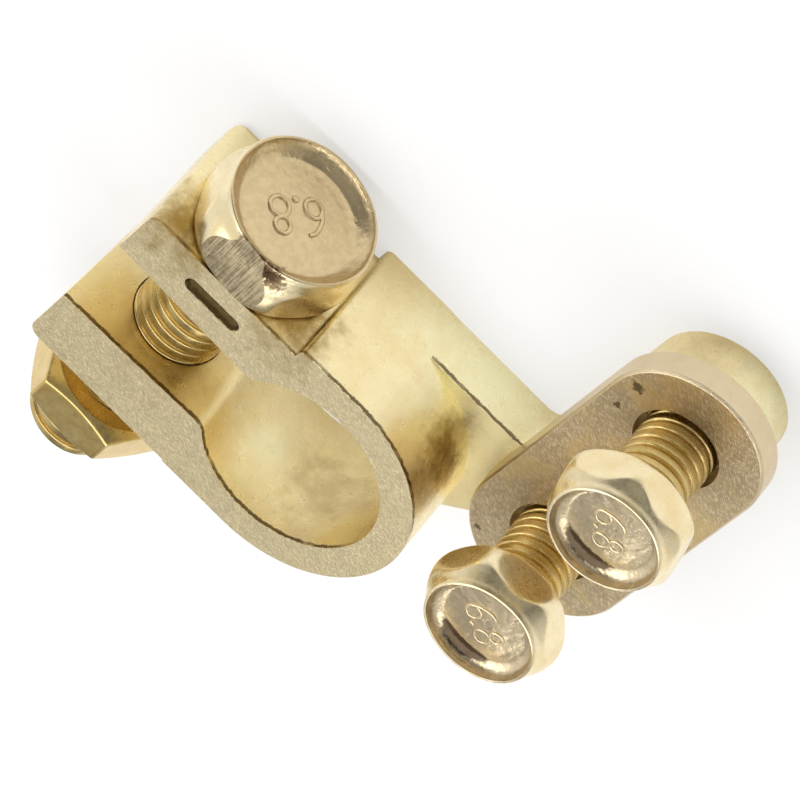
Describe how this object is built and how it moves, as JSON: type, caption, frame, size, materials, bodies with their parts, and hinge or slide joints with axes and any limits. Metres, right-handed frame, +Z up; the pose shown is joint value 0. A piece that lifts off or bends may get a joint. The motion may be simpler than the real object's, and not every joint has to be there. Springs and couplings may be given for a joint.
{
  "type": "battery terminal clamp",
  "caption": "Brass clamp for a battery's negative post, with a cross bolt and thin nut, and an arm to a cable base under a plate held down by hexagon screws.",
  "frame": {"origin": "on the battery post's axis, in the plane of the underside", "axes": "+Z up the post; +X from the post towards the cable end, with the slot running the other way; +Y towards the head of the clamp bolt"},
  "size_m": [0.0574, 0.0694, 0.023],
  "materials": {
    "cast_brass": "satin casting with a sawn and brushed top face",
    "brushed_brass": "matt, brushed",
    "plated_brass": "bright plated"
  },
  "bodies": {
    "body": {"clamp_body": "cast_brass"},
    "bolt": {"clamp_bolt": "plated_brass"},
    "nut": {"clamp_nut": "plated_brass"},
    "saddle": {"cable_saddle": "brushed_brass"},
    "near_screw": {"cable_screw_near": "plated_brass"},
    "far_screw": {"cable_screw_far": "plated_brass"}
  },
  "joints": [
    {"name": "bolt_turn", "type": "hinge", "parent": "body", "child": "bolt", "pos_m": [-0.0166, 0.012, 0.0087], "axis": [0, -1, 0], "range_deg": [-1464, 876]},
    {"name": "nut_travel", "type": "slide", "parent": "body", "child": "nut", "axis": [0, 1, 0], "range_m": [-0.0061, 0.00365]},
    {"name": "saddle_lift", "type": "slide", "parent": "body", "child": "saddle", "axis": [0, 0, 1], "range_m": [0, 0.0085]},
    {"name": "near_screw_travel", "type": "slide", "parent": "saddle", "child": "near_screw", "axis": [0, 0, 1], "range_m": [-0.00875, 0]},
    {"name": "far_screw_travel", "type": "slide", "parent": "saddle", "child": "far_screw", "axis": [0, 0, 1], "range_m": [-0.00855, 0]}
  ],
  "couplings": [
    {"joint": "nut_travel", "follows": "bolt_turn", "m_per_rad": 0.00023873}
  ]
}
